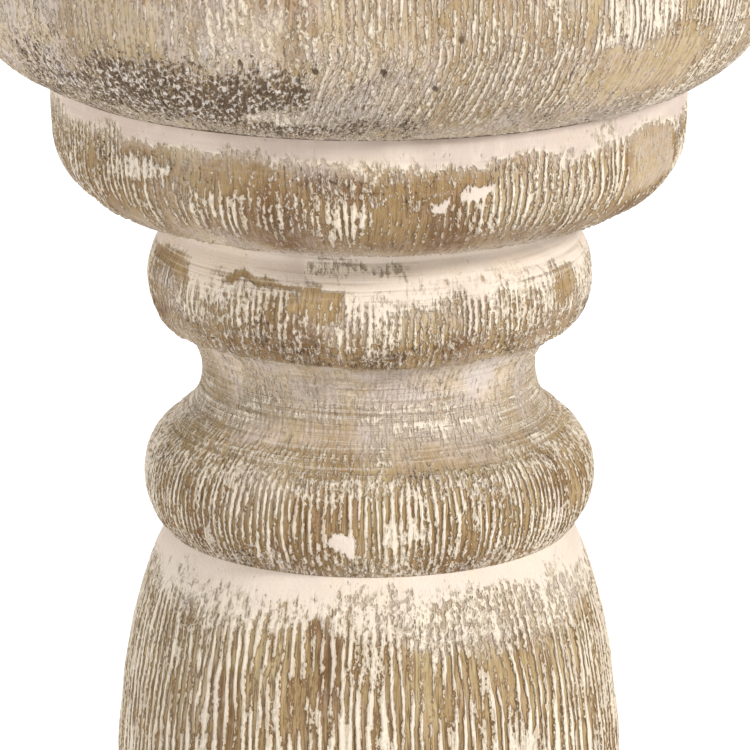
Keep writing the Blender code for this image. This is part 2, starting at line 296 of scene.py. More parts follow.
class Surface:
    """The outside of one wood section: where each vertex is, and what lies on it.

    cover: paint, from none at 0 through half at 0.5 to a flat coat at 1 and more
    tone: wood from pale to dark, and above 0.5 dulled paint; on the collar it is partly painted shade
    wash: paint rubbed thin on the bare wood
    speck: dark specks, and towards 1.3 a crust of flakes and hollows
    ring: fine lines from the lathe
    mottle: streaks at 0, blotches at 1
    groove: cut lines and holes
    dent: slow unevenness, in mm
    lean: how far the grain has leant sideways, in mm
    """

    FINISH = ("cover", "tone", "wash", "speck", "ring", "mottle")

    def __init__(self, run, columns, seed, spacing):
        self.rng = np.random.default_rng(seed)
        steps = np.hypot(*np.diff(run, axis=0).T)
        down = np.concatenate([[0], np.cumsum(steps)])
        self.length = down[-1]
        everywhere = np.ones((len(run), columns))
        self.distance = down[:, None] * everywhere
        self.azimuth = (np.arange(columns) * 360.0 / columns)[None, :] * everywhere
        self.radius = float(run[:, 0].mean())
        self.spacing = spacing
        self.rows, self.columns = len(run), columns
        self.mesh_size = self.length / (len(run) - 1), TAU * self.radius / columns
        self.wander = 0.5 * self.noise(2.5, 2.5) + 0.6 * self.noise(10, 12)
        self.stray = 0.6 * self.noise(2.5, 1.2) + 0.8 * self.noise(9, 5)
        self.dent = 0.09 * self.noise(18, 22) + 0.05 * self.noise(5, 6)
        self.groove = np.zeros_like(self.distance)
        self.lean = np.zeros_like(self.distance)

    def noise(self, along, around):
        return smooth_noise(self.rng, self.rows, self.columns, *self.mesh_size, along, around)

    def sideways(self, azimuth):
        """How far each vertex lies round the stick from an azimuth, in mm."""
        return np.radians((self.azimuth - azimuth + 180) % 360 - 180) * self.radius

    def bands(self, table):
        """Rows of a distance and the finish there, blended between them and varied all over."""
        table = np.array(table, float)
        where = self.distance + self.wander * step(self.distance, 0, 6)
        for index, name in enumerate(self.FINISH, 1):
            setattr(self, name, np.interp(where, table[:, 0], table[:, index]))
        self.cover = self.cover + 0.07 * self.noise(16, 8) + 0.07 * self.noise(5, 3.5)
        self.tone += 0.15 * self.noise(22, 8)
        self.wash = np.clip(self.wash + 0.12 * self.noise(9, 9), 0, 1)
        self.speck = np.clip(self.speck + 0.15 * self.noise(5, 6), 0, 1)

    def patch(self, azimuth, distance, wide, tall, soft=1.6, **changes):
        """An area, wide by tall in mm about a middle, where the finish takes other values."""
        across = np.abs(self.sideways(azimuth) + 0.9 * self.stray) - wide / 2
        along = np.abs(self.distance - distance + self.wander) - tall / 2
        inside = (1 - step(across, -soft / 2, soft / 2)) * (1 - step(along, -soft, soft))
        for name, value in changes.items():
            field = getattr(self, name)
            setattr(self, name, field + inside * (value - field))

    def slant(self, azimuth, wide, slope):
        """Leans the grain about an azimuth, by slope mm sideways for each mm of distance."""
        risen = np.minimum(self.distance, LEAN_REACH)
        self.lean += slope * risen * np.exp(-((self.sideways(azimuth) / wide) ** 2))

    def wear(self, count, low, high, first=80.0, last=280.0):
        """Scattered bare, painted and specked areas between two azimuths, at first round the back."""
        kinds = (
            dict(cover=0.16, tone=0.2, mottle=0.65, wash=0.35),
            dict(cover=0.3, tone=0.95, mottle=0.6, speck=0.9),
            dict(cover=0.85, wash=0.8, mottle=0.5),
            dict(cover=0.45, tone=0.5, mottle=0.7, speck=0.75),
        )
        for number in range(count):
            azimuth = self.rng.uniform(first, last)
            distance = self.rng.uniform(low, high)
            wide, tall = self.rng.uniform(5, 20), self.rng.uniform(4, 12)
            self.patch(azimuth, distance, wide, tall, soft=4.5, **kinds[number % len(kinds)])

    def line(self, distance, depth, wide, waver=0.12):
        """A line cut round the stick on the lathe."""
        middle = distance + waver * self.wander
        self.groove += depth * np.exp(-(((self.distance - middle) / wide) ** 2))

    def seam(self, azimuth, depth):
        """A glue line between two staves."""
        across = self.sideways(azimuth) / SEAM_REACH
        self.groove += depth * np.exp(-(across**2))

    def hole(self, azimuth, distance):
        """A worm hole."""
        squared = self.sideways(azimuth) ** 2 + (self.distance - distance) ** 2
        self.groove += HOLE_DEPTH * np.exp(-squared / HOLE_R**2)

    def write(self, mesh, rings, shift):
        """Puts the fields on a mesh of so many rings, of which the first are this surface."""
        swing = 0.14 * self.noise(10, 16) + 0.05 * self.noise(4, 6)
        angle = np.radians(self.azimuth) + (swing - self.lean) / self.radius
        x, y = self.radius * np.cos(angle), self.radius * np.sin(angle)
        # The relief fades out over the last mm at each end.
        shown = step(self.distance, 0, 1) * step(self.length - self.distance, 0, 1)
        fields = {
            "grain": (x, y, self.distance + shift),
            "coat": (self.cover, self.tone, self.wash),
            "marks": (self.speck, self.ring, self.mottle),
            "form": (self.groove, self.dent, shown),
        }
        hidden = np.zeros(((rings - self.rows) * self.columns, 3))
        for name, values in fields.items():
            vectors = np.concatenate([np.stack(values, -1).reshape(-1, 3), hidden])
            set_values(mesh, name, "FLOAT_VECTOR", "POINT", vectors)
        self.write_waves(mesh)

    def write_waves(self, mesh):
        """Counts the streaks round the stick. At face corners the count runs on to the full turn."""
        count = round(TAU * self.radius / self.spacing)
        waves = (np.arange(len(mesh.vertices)) % self.columns) * (count / self.columns)
        lean = np.zeros(len(mesh.vertices))
        lean[:self.lean.size] = self.lean.ravel() / self.spacing
        set_values(mesh, "waves_at_vertex", "FLOAT", "POINT", waves - lean)
        vertex_of = np.zeros(len(mesh.loops), np.int64)
        mesh.loops.foreach_get("vertex_index", vertex_of)
        at_corner = waves[vertex_of].reshape(-1, 4)
        wrapped = at_corner.max(1) - at_corner.min(1) > count / 2
        at_corner[wrapped] = np.where(at_corner[wrapped] < count / 2, count, at_corner[wrapped])
        set_values(mesh, "waves", "FLOAT", "CORNER", at_corner.ravel() - lean[vertex_of])


# ---- node graphs

def linear(code):
    """A colour written as six hex digits, as linear light."""
    values = [int(code[i:i + 2], 16) / 255 for i in (0, 2, 4)]
    light = [v / 12.92 if v <= 0.04045 else ((v + 0.055) / 1.055) ** 2.4 for v in values]
    return (*light, 1.0)


class Graph:
    """Adds nodes to a shader or geometry tree and links them."""

    def __init__(self, tree):
        self.tree = tree
        self.geometry = tree.bl_idname == "GeometryNodeTree"

    def add(self, kind, *first, plugs=None, **settings):
        """A node with values or other nodes' outputs in its first inputs and its plugs."""
        node = self.tree.nodes.new(kind)
        for name, value in settings.items():
            setattr(node, name, value)
        for socket, value in [*enumerate(first), *(plugs or {}).items()]:
            self.plug(node.inputs[socket], value)
        return node

    def plug(self, socket, value):
        if isinstance(value, bpy.types.NodeSocket):
            self.tree.links.new(value, socket)
        else:
            socket.default_value = value

    def named(self, name, kind):
        node = self.add("GeometryNodeInputNamedAttribute", name, data_type=kind)
        return node.outputs["Attribute"]

    def attribute(self, name):
        """A vector attribute of the mesh."""
        if self.geometry:
            return self.named(name, "FLOAT_VECTOR")
        return self.add("ShaderNodeAttribute", attribute_name=name).outputs["Vector"]

    def waves(self):
        """The count of streaks round the stick."""
        if self.geometry:
            return self.named("waves_at_vertex", "FLOAT")
        return self.add("ShaderNodeAttribute", attribute_name="waves").outputs["Fac"]

    def split(self, vector):
        return tuple(self.add("ShaderNodeSeparateXYZ", vector).outputs)

    def math(self, operation, a, b=0.0):
        return self.add("ShaderNodeMath", a, b, operation=operation).outputs[0]

    def add_up(self, *terms):
        total = terms[0]
        for term in terms[1:]:
            total = self.math("ADD", total, term)
        return total

    def times(self, *factors):
        product = factors[0]
        for factor in factors[1:]:
            product = self.math("MULTIPLY", product, factor)
        return product

    def minus(self, a, b):
        return self.math("SUBTRACT", a, b)

    def swing(self, value, *factors):
        """How far a value is from one half, times the factors."""
        return self.times(self.minus(value, 0.5), *factors)

    def fade(self, value, share):
        """A factor that falls from one by a share of a value."""
        return self.minus(1.0, self.times(value, share))

    def stretch(self, vector, scale, shift=(0, 0, 0)):
        node = self.add("ShaderNodeVectorMath", vector, scale, shift, operation="MULTIPLY_ADD")
        return node.outputs[0]

    def noise(self, vector, around, along, detail, roughness, shift=0.0):
        """Noise with blobs of around by along mm."""
        scaled = self.stretch(vector, (1 / around, 1 / around, 1 / along), (shift, shift, shift))
        plugs = {"Vector": scaled, "Scale": 1.0, "Detail": detail, "Roughness": roughness}
        return self.add("ShaderNodeTexNoise", plugs=plugs, noise_dimensions="3D").outputs[0]

    def noises(self, grain, *names):
        """Some of NOISES."""
        return [self.noise(grain, *NOISES[name]) for name in names]

    def ramp(self, value, low, high, to_low=0.0, to_high=1.0):
        """Goes smoothly from to_low to to_high while the value goes from low to high."""
        node = self.add("ShaderNodeMapRange", value, low, high, to_low, to_high)
        node.interpolation_type = "SMOOTHSTEP"
        return node.outputs["Result"]

    def above(self, value, level, soft):
        """0 up to a level, 1 from a soft step above it."""
        return self.ramp(value, level, self.add_up(level, soft))

    def mix(self, factor, a, b):
        return self.add("ShaderNodeMix", factor, plugs={6: a, 7: b}, data_type="RGBA").outputs[2]

    def tinted(self, colour, factor, code):
        """A colour mixed with another, written as hex digits, by a factor."""
        return self.mix(factor, colour, linear(code))

    def bump(self, shader, height, strength, depth):
        """Gives a shader fine relief, depth in mm for each unit of height."""
        plugs = {"Strength": strength, "Distance": depth * MM, "Height": height}
        self.plug(shader.inputs["Normal"], self.add("ShaderNodeBump", plugs=plugs).outputs[0])


def brushed_pattern(g):
    """Where the paint, the dirt and painted shade beside it, specks and turning lines lie, the same
    in geometry and in colour.
    """
    p = SimpleNamespace(grain=g.attribute("grain"))
    p.cover, p.tone, p.wash = g.split(g.attribute("coat"))
    p.speck, p.ring, p.mottle = g.split(g.attribute("marks"))
    p.groove, p.dent, p.shown = g.split(g.attribute("form"))
    line, drift, jitter, force = g.noises(p.grain, "line", "drift", "jitter", "force")
    p.blotch, p.fibre, p.crumb, p.turning = g.noises(p.grain, "blotch", "fibre", "crumb", "turning")
    sway = g.add_up(g.times(drift, 1.5), g.times(jitter, 0.5))
    phase = g.times(g.add_up(g.waves(), sway), TAU)
    force = g.ramp(force, 0.3, 0.7, 0.08, 0.27)
    p.streak = g.add_up(0.5, g.times(g.math("SINE", phase), force), g.swing(line, 0.75))
    # The cosine marks one flank of each streak; bare_wood paints a shadow there, as if the raised
    # paint shaded it from the key light.
    p.side = g.times(g.math("COSINE", phase), force)
    value = g.add_up(
        g.swing(p.streak, g.minus(1.0, p.mottle)),
        g.swing(p.blotch, g.add_up(0.3, p.mottle), g.fade(p.ring, 0.6)),
        g.swing(p.fibre, 0.25),
        g.swing(p.crumb, g.add_up(0.22, g.times(p.speck, 0.75))),
        g.swing(p.turning, p.ring, 0.85),
    )
    p.gap = g.add_up(value, g.swing(p.cover, 0.46), g.times(p.groove, -0.25))
    return p


def relief_group():
    """Geometry nodes that raise the paint and sink the lines, along the normals."""
    tree = bpy.data.node_groups.new("wood_relief", "GeometryNodeTree")
    for way in ("INPUT", "OUTPUT"):
        tree.interface.new_socket("Geometry", in_out=way, socket_type="NodeSocketGeometry")
    g = Graph(tree)
    p = brushed_pattern(g)
    pits = g.above(p.blotch, g.minus(0.78, g.times(p.speck, 0.2)), 0.06)
    combed = g.times(g.fade(g.ramp(p.cover, 0.8, 1.15), 0.85), g.fade(p.mottle, 0.6))
    height = g.add_up(
        g.times(g.ramp(p.gap, -0.05, 0.05), PAINT_HEIGHT),
        g.swing(p.streak, combed, STREAK_HEIGHT),
        g.swing(p.turning, p.ring, RING_HEIGHT),
        g.times(p.groove, -GROOVE_DEPTH),
        g.times(pits, -PIT_DEPTH),
        p.dent,
        RELIEF_BASE,
    )
    normal = g.add("GeometryNodeInputNormal").outputs[0]
    plugs = {"Scale": g.times(height, p.shown, MM)}
    offset = g.add("ShaderNodeVectorMath", normal, plugs=plugs, operation="SCALE").outputs[0]
    source = g.add("NodeGroupInput").outputs[0]
    move = g.add("GeometryNodeSetPosition", source, plugs={"Offset": offset})
    g.add("NodeGroupOutput", move.outputs[0])
    return tree


def new_material(name, fixed):
    """A material, its node graph, and its shader with fixed values in some sockets."""
    material = bpy.data.materials.new(name)
    material.use_nodes = True
    shader = material.node_tree.nodes["Principled BSDF"]
    for socket, value in fixed.items():
        shader.inputs[socket].default_value = value
    return material, Graph(material.node_tree), shader


def bare_wood(g, p):
    """Wood with pores, paint rubbed thin on it, dirt and painted shade along the paint's edges, and a
    painted shadow on one flank of each streak.
    """
    shade = g.add_up(
        p.tone,
        g.swing(p.fibre, g.add_up(0.35, p.combed)),
        g.swing(p.cloud, 0.9),
        g.swing(p.fine, 0.5),
    )
    wood = g.mix(g.ramp(shade, -0.1, 0.55), linear(PALE_WOOD), linear(MID_WOOD))
    wood = g.tinted(wood, g.ramp(shade, 0.45, 1.25), DARK_WOOD)
    wood = g.tinted(wood, g.times(g.ramp(p.tint, 0.5, 0.75), 0.35), ROSY_WOOD)
    wood = g.tinted(wood, g.times(g.ramp(p.pores, 0.6, 0.72), 0.55), PORE)
    rubbed = g.add_up(p.wash, g.swing(p.blotch, 0.9), g.swing(p.fine, 0.5))
    veil = g.mix(g.ramp(p.tint, 0.38, 0.6), linear(VEIL), linear(ROSY_VEIL))
    veil = g.tinted(veil, g.ramp(p.grey, 0.45, 0.6), GREY_VEIL)
    wood = g.mix(g.ramp(rubbed, 0.1, 1.0, 0.0, 0.92), wood, veil)
    # Dirt and painted shade just outside the paint's edges, where the raised paint would shade the
    # wood.
    dirt_and_shade = g.times(g.ramp(p.edge, -0.16, -0.01), g.minus(1.0, p.paint))
    wood = g.tinted(wood, g.times(dirt_and_shade, g.fade(p.mottle, 0.65), 0.75), GRIME_AND_EDGE_SHADE)
    # A painted shadow on that flank of each streak, as if cast by the raised paint in the key light.
    beside = g.times(g.ramp(p.side, 0.0, 0.2), dirt_and_shade, g.minus(1.0, p.mottle), 0.85)
    return g.tinted(wood, beside, PAINTED_STREAK_SHADOW)


def paint_coat(g, p):
    """Cream paint, duller in places, that lets the wood through where it is thin. Where the tone is
    high it is darkened, which on the collar under the cup is painted shade.
    """
    cream = g.mix(p.flat, linear(STREAK_PAINT), linear(FLAT_PAINT))
    cream = g.tinted(cream, g.times(g.ramp(p.cloud, 0.4, 0.7), 0.5), YELLOWED_PAINT)
    # High tone darkens the paint; on the collar under the cup this is painted shade.
    dulled_and_shaded = g.times(g.ramp(p.tone, 0.5, 1.0), g.add_up(0.4, g.times(p.flat, 0.35)))
    cream = g.tinted(cream, dulled_and_shaded, DULL_AND_SHADED_PAINT)
    cream = g.tinted(cream, g.times(g.ramp(p.tint, 0.52, 0.7), 0.45), PINK_PAINT)
    cream = g.tinted(cream, g.times(g.ramp(p.fine, 0.45, 0.75), 0.3), DUSTY_PAINT)
    return g.mix(p.thick, g.tinted(cream, 0.5, SHEER_PAINT), cream)


def marked(g, p, colour):
    """Specks, the crust's hollows and flakes, cut lines, and dark and pale rings from the lathe."""
    colour = g.tinted(colour, g.times(p.specks, 0.75), SPECK)
    colour = g.tinted(colour, g.times(p.hollows, 0.75), HOLLOW)
    colour = g.tinted(colour, g.times(p.flakes, 0.85), FLAKE)
    colour = g.tinted(colour, g.times(p.lines, 0.8), CUT_LINE)
    dark = g.ramp(g.minus(1.0, p.turning), 0.53, 0.66)
    colour = g.tinted(colour, g.times(dark, p.ring, 0.7), DARK_RING)
    pale = g.ramp(p.turning, 0.53, 0.64)
    return g.tinted(colour, g.times(pale, p.ring, 0.75), PALE_RING)


def add_coat_layers(g, p):
    """Works out how thick the paint lies, and where the marks on it are."""
    p.fine, p.pores, p.cloud = g.noises(p.grain, "fine", "pores", "cloud")
    p.tint, p.grey, p.crust = g.noises(p.grain, "tint", "grey", "crust")
    p.edge = g.add_up(p.gap, g.swing(p.fine, 0.08))
    soft = g.add_up(0.016, g.times(p.mottle, 0.035), g.times(p.ring, 0.03))
    p.paint = g.ramp(p.edge, g.times(soft, -1.0), g.add_up(soft, 0.012))
    p.flat = g.ramp(p.cover, 0.7, 1.1)
    p.combed = g.times(g.fade(p.mottle, 0.85), g.fade(p.flat, 0.8))
    p.thick = g.math("MAXIMUM", g.ramp(p.edge, 0.0, 0.2), g.ramp(p.cover, 0.85, 1.1))
    terms = (g.times(p.blotch, 0.55), g.times(p.crumb, 0.3), g.times(p.pores, 0.3), -0.03)
    p.specks = g.above(g.add_up(*terms), g.minus(0.82, g.times(p.speck, 0.24)), 0.06)
    hollow_level = g.ramp(p.speck, 0.3, 1.3, 0.78, 0.48)
    p.hollows = g.above(g.minus(1.0, p.crust), hollow_level, 0.08)
    p.flakes = g.above(p.crust, g.ramp(p.speck, 0.3, 1.3, 0.80, 0.53), 0.05)
    p.lines = g.ramp(g.add_up(p.groove, g.swing(p.fine, 0.4)), 0.3, 0.95)


def wood_material():
    """Worn whitewash on brushed wood."""
    material, g, shader = new_material("brushed_whitewash", {"Specular IOR Level": 0.32})
    p = brushed_pattern(g)
    add_coat_layers(g, p)
    colour = marked(g, p, g.mix(p.paint, bare_wood(g, p), paint_coat(g, p)))
    g.plug(shader.inputs["Base Color"], colour)
    rough = g.add_up(g.ramp(p.paint, 0.0, 1.0, 0.62, 0.74), g.swing(p.fine, 0.2))
    g.plug(shader.inputs["Roughness"], rough)
    height = g.add_up(
        g.times(p.paint, g.fade(p.mottle, 0.5), 0.14),
        g.times(p.thick, 0.22),
        g.times(p.fibre, p.combed, 0.25),
        g.times(p.fine, 0.06),
        g.times(p.crumb, g.fade(p.flat, 0.7), 0.12),
        g.times(p.specks, -0.06),
        g.times(p.flakes, 0.14),
        g.times(p.hollows, -0.14),
        g.times(p.lines, -0.05),
        g.times(p.turning, p.ring, 0.22),
    )
    g.bump(shader, height, 1.0, 1.0)
    return material


def spot_in_mm(g):
    return g.stretch(g.add("ShaderNodeTexCoord").outputs["Object"], (1 / MM, 1 / MM, 1 / MM))


def metal_material(name, light, dark, roughness, wear=0.5, spun=False, metallic=1.0):
    """Bronzed or plated metal with cloudy tone and small spots, and rings where it was spun."""
    fixed = {"Metallic": metallic, "Specular IOR Level": 0.3}
    material, g, shader = new_material(name, fixed)
    spot = spot_in_mm(g)
    cloud = g.noise(spot, 9.0, 9.0, 3.0, 0.6)
    fine = g.noise(spot, 0.6, 0.6, 2.0, 0.6, 9.0)
    mixed = g.add_up(g.times(cloud, 0.7), g.times(fine, 0.3))
    colour = g.mix(g.ramp(mixed, 0.35, 0.65), linear(dark), linear(light))
    colour = g.tinted(colour, g.times(g.ramp(fine, 0.62, 0.7), wear), RUST)
    height = g.add_up(g.times(fine, 0.4 if spun else 1.0), g.times(cloud, 0.8))
    if spun:
        x, y, z = g.split(spot)
        reach = g.math("SQRT", g.add_up(g.times(x, x), g.times(y, y)))
        joined = g.add("ShaderNodeCombineXYZ", reach, 0.0, z)
        rings = g.noise(joined.outputs[0], 0.45, 0.45, 3.0, 0.7, 13.0)
        colour = g.tinted(colour, g.times(g.ramp(rings, 0.5, 0.75), 0.3), SPUN_RING)
        height = g.add_up(height, g.times(rings, 0.6))
    g.plug(shader.inputs["Base Color"], colour)
    g.plug(shader.inputs["Roughness"], g.add_up(g.swing(mixed, 0.7), roughness))
    g.bump(shader, height, 0.5, 0.25)
    return material


def felt_material():
    material, g, shader = new_material("brown_felt", {"Roughness": 0.95, "Sheen Weight": 0.35})
    spot = spot_in_mm(g)
    hairs = g.noise(spot, 0.35, 0.35, 3.0, 0.7)
    mixed = g.add_up(g.times(hairs, 0.7), g.times(g.noise(spot, 6.0, 6.0, 2.0, 0.5, 4.0), 0.3))
    colour = g.mix(g.ramp(mixed, 0.35, 0.65), linear(DARK_FELT), linear(PALE_FELT))
    g.plug(shader.inputs["Base Color"], colour)
    g.bump(shader, hairs, 0.8, 0.4)
    return material


WOOD = wood_material()
IRON = metal_material("bronzed_iron", "6A5A49", "3A2F25", 0.45)
PAN_IRON = metal_material("bronzed_sheet", "54463A", "33291F", 0.6, spun=True, metallic=0.45)
SCREW_STEEL = metal_material("browned_steel", "7A6B58", "463B30", 0.48, wear=0.3, metallic=0.6)
ZINC = metal_material("zinc_plate", "B9B9B4", "8C8C88", 0.38, wear=0.1)
FELT = felt_material()
RELIEF = relief_group()


# ---- the wood sections

def wood_section(node, inner, columns, rows, dress, spacing, seed):
    """Replaces one turned CAD section with a fine mesh, dressed by a function."""
    run, rest = split_loop(outline_loop(node), inner)
    if run[0][1] < run[-1][1]:
        run, rest = run[::-1], rest[::-1]
    outer = soften(smooth_run(run, rows), ROUNDING)
    outer[0, 1] += LIP
    outer[-1, 1] -= LIP
    rings = np.concatenate([outer, np.array(rest, float)])
    surface = Surface(outer, columns, seed, spacing)
    dress(surface)
    mesh = turned_mesh(node + "_wood", rings, columns)
    surface.write(mesh, len(rings), SECTION_SHIFT * seed)
    mesh.materials.append(WOOD)
    piece = add_object(node + "_wood", mesh)
    piece.modifiers.new("relief", "NODES").node_group = RELIEF
    apply_modifiers(piece)
    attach(piece, "root")
    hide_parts(node)


# The rows of bands are distance, cover, tone, wash, speck, ring and mottle. Patches give azimuth,
# distance, width and height before the finish they change.

def dress_cup(s):
    s.distance = s.length - s.distance  # up from the crease under the cup
    s.bands([
        (0, 0.55, 0.5, 0.9, 0.6, 0.1, 0.9),
        (4, 0.5, 0.5, 0.9, 0.8, 0.1, 0.8),
        (8, 0.45, 0.5, 0.7, 0.7, 0, 0.6),
        (13, 0.42, 0.4, 0.5, 0.4, 0, 0.5),
        (26, 0.42, 0.35, 0.5, 0.3, 0, 0.4),
        (38, 0.48, 0.4, 0.4, 0.2, 0, 0.3),
        (42, 0.6, 0.4, 0.4, 0.3, 0.2, 0.5),
        (45, 0.25, 0.5, 0.2, 0.3, 0.3, 0.6),
        (48, 0.7, 0.4, 0.4, 0.3, 0.3, 0.5),
        (62, 0.85, 0.5, 0.6, 0.4, 0.2, 0.8),
    ])
    s.patch(-30, 13, 62, 18, soft=8, tone=0.5, speck=1.1, mottle=0.8, cover=0.46, wash=0.5)
    s.patch(-22, 14, 40, 9, soft=7, tone=0.85, speck=1.35, mottle=0.8, cover=0.46, wash=0.3)
    s.patch(-6, 9, 26, 7, soft=6, tone=0.6, speck=1.25, mottle=0.85, cover=0.46, wash=0.5)
    s.patch(-12, 11, 14, 1.6, soft=2, cover=0.95, wash=0.9, speck=0.5)
    s.slant(0, 26, 0.28)
    s.slant(45, 26, 0.12)
    s.patch(-17, 24, 11, 9, soft=3, cover=0.5, tone=0.1, wash=0.95, mottle=0.8)
    s.patch(-33, 26, 18, 9, soft=2, cover=0.28, tone=0.2, wash=0.6, mottle=0.4)
    s.patch(-55, 20, 18, 18, soft=3, cover=0.3, tone=0.2, wash=0.8, mottle=0.6)
    s.patch(-9, 26, 4, 12, cover=0.35, tone=0.7, speck=0.7)
    s.patch(0, 16, 16, 14, soft=3, cover=0.5, wash=0.8, mottle=0.35, speck=0.8)
    s.patch(20, 18, 20, 17, soft=3, cover=0.48, tone=0.5, wash=0.5, mottle=0.3, speck=0.7)
    s.patch(43, 17, 19, 10, soft=2, cover=0.12, tone=0.2, wash=0.35, mottle=0.7)
    s.patch(39, 26, 13, 8, cover=0.75, tone=0.2, wash=0.8, mottle=0.1)
    s.patch(55, 26, 10, 9, cover=0.62, tone=0.3, mottle=0.0)
    for azimuth in (-11, 35, 84, 142, 200, 251, 305):
        s.seam(azimuth, 0.45)
    for azimuth, distance in ((-17, 21), (-7, 20), (2, 20), (9, 17), (12, 25)):
        s.hole(azimuth, distance)
    s.wear(14, 8, 40)


def dress_collar(s):
    s.bands([
        # The high tone in the first two rows darkens the flat paint: painted shade under the cup's
        # overhang.
        (0, 1.2, 1, 1, 0, 0.1, 0.9),
        (2.8, 1.05, 0.9, 1, 0.1, 0.1, 0.9),
        (4.2, 0.45, 0.5, 0.5, 0.5, 0.1, 0.85),
        (6.5, 0.3, 0.65, 0.2, 0.7, 0.1, 0.8),
        (8.5, 0.4, 0.6, 0.2, 0.5, 0, 0.5),
        (10.5, 0.5, 0.65, 0.25, 0.4, 0, 0.3),
        # From here down the darker tone is partly the wood's own and partly painted shade on the
        # collar's underside.
        (14.5, 0.41, 0.75, 0.25, 0.6, 0, 0.3),
        (17, 0.22, 0.9, 0.35, 0.6, 0.1, 0.6),
        (22, 0.22, 0.8, 0.6, 0.4, 0.2, 0.8),
        (30, 0.45, 0.6, 0.9, 0.3, 0.3, 0.8),
    ])
    s.patch(-45, 7.5, 12, 3.5, soft=0.8, cover=0.85, mottle=0.5)
    s.patch(-60, 5, 16, 5, cover=0.55, mottle=0.5, tone=0.4)
    s.patch(-27, 6, 14, 4, cover=0.12, tone=0.5, mottle=0.8)
    s.patch(-12, 5, 14, 3, cover=0.2, tone=0.8)
    s.patch(0, 7, 16, 5, cover=0.45, tone=0.95, speck=0.9, mottle=0.7)
    s.patch(6, 13, 9, 9, soft=1.5, cover=0.15, tone=0.8, wash=0.1, mottle=0.6)
    s.patch(13, 6, 16, 4, cover=0.2, tone=0.75, speck=0.8)
    s.patch(20, 8, 3, 2.2, soft=0.5, cover=1.4)
    s.patch(14, 8.6, 4, 1.2, soft=0.4, cover=1.3)
    s.patch(36, 9, 20, 10, soft=2, cover=0.5, tone=0.35, wash=0.4, mottle=0.15)
    s.patch(62, 9, 16, 10, soft=2, cover=0.1, tone=0.3, wash=0.45, mottle=0.8)
    s.wear(10, 3, 16)


def dress_neck(s):
    s.bands([
        (0, 1.3, 0.3, 0.9, 0, 0.2, 0.9),
        (4, 1.2, 0.3, 0.9, 0, 0.3, 0.9),
        (6.5, 0.95, 0.4, 0.8, 0.2, 0.6, 0.9),
        (8.5, 0.78, 0.55, 0.6, 0.5, 0.3, 0.55),
        (11, 0.62, 0.6, 0.5, 0.5, 0, 0.4),
        (13.5, 0.58, 0.7, 0.4, 0.7, 0, 0.45),
        (15.5, 0.42, 0.9, 0.1, 0.9, 0.1, 0.8),
        (20, 0.35, 0.7, 0.4, 0.6, 0.3, 0.8),
        (22, 0.28, 0.45, 0.85, 0.3, 0.6, 0.8),
        (27, 0.3, 0.4, 0.8, 0.4, 0.7, 0.8),
        (31, 0.5, 0.4, 0.7, 0.4, 0.8, 0.9),
        (35.5, 0.6, 0.3, 0.7, 0.4, 0.8, 0.9),
        (38, 0.54, 0.25, 0.35, 0.5, 0.6, 0.8),
        (40.5, 0.62, 0.3, 0.25, 0.7, 0.3, 0.8),
        (44, 0.62, 0.4, 0.2, 0.7, 0, 0.5),
        (46, 0.48, 0.5, 0.05, 0.3, 0, 0.15),
        (53, 0.48, 0.65, 0.05, 0.4, 0, 0.2),
        (56, 0.5, 0.75, 0.1, 0.8, 0, 0.6),
        (60, 0.62, 0.7, 0.3, 0.8, 0.1, 0.9),
    ])
    s.patch(-2, 2, 18, 2.5, cover=0.7, tone=0.5, wash=0.9, ring=0.6)
    s.patch(-66, 7.5, 12, 4.0, cover=0.12, tone=0.5, wash=0.1, ring=0.5)
    s.patch(-13, 9.5, 5, 5.5, soft=0.5, cover=0.08, tone=0.45, wash=0.1, mottle=0.6)
    s.patch(-28, 6, 14, 1.4, soft=0.5, cover=0.15, tone=0.5, wash=0.1, ring=0.6)
    s.patch(27, 5.5, 20, 5, soft=1.5, cover=1.0, wash=0.9, ring=0.2)
    s.patch(60, 9, 8, 6, cover=0.12, tone=0.5, wash=0.1, mottle=0.6)
    s.patch(-68, 12, 10, 5, cover=0.35, tone=0.7)
    s.patch(-12, 11, 5, 5, cover=0.3, tone=0.4)
    s.patch(17, 11.5, 8, 4, cover=0.3, tone=0.15)
    s.patch(-25, 35, 24, 4, cover=0.25, tone=0.5, ring=0.6)
    s.patch(25, 33, 18, 6, soft=3, cover=0.66, tone=0.2, wash=0.95, ring=0.6)
    s.patch(22, 38.5, 18, 3.5, cover=0.2, tone=0.45)
    s.patch(-6, 52, 2.6, 3.6, soft=0.5, cover=1.4)
    s.patch(9, 50.5, 6, 4, soft=0.6, cover=0.85, mottle=0.6)
    s.patch(68, 48, 8, 9, soft=1.5, cover=0.2, tone=0.5)
    s.line(5.3, 0.35, 0.3, 0.5)
    s.line(20.5, 0.7, 0.5)
    s.line(39.7, 0.35, 0.5)
    s.wear(12, 8, 56)


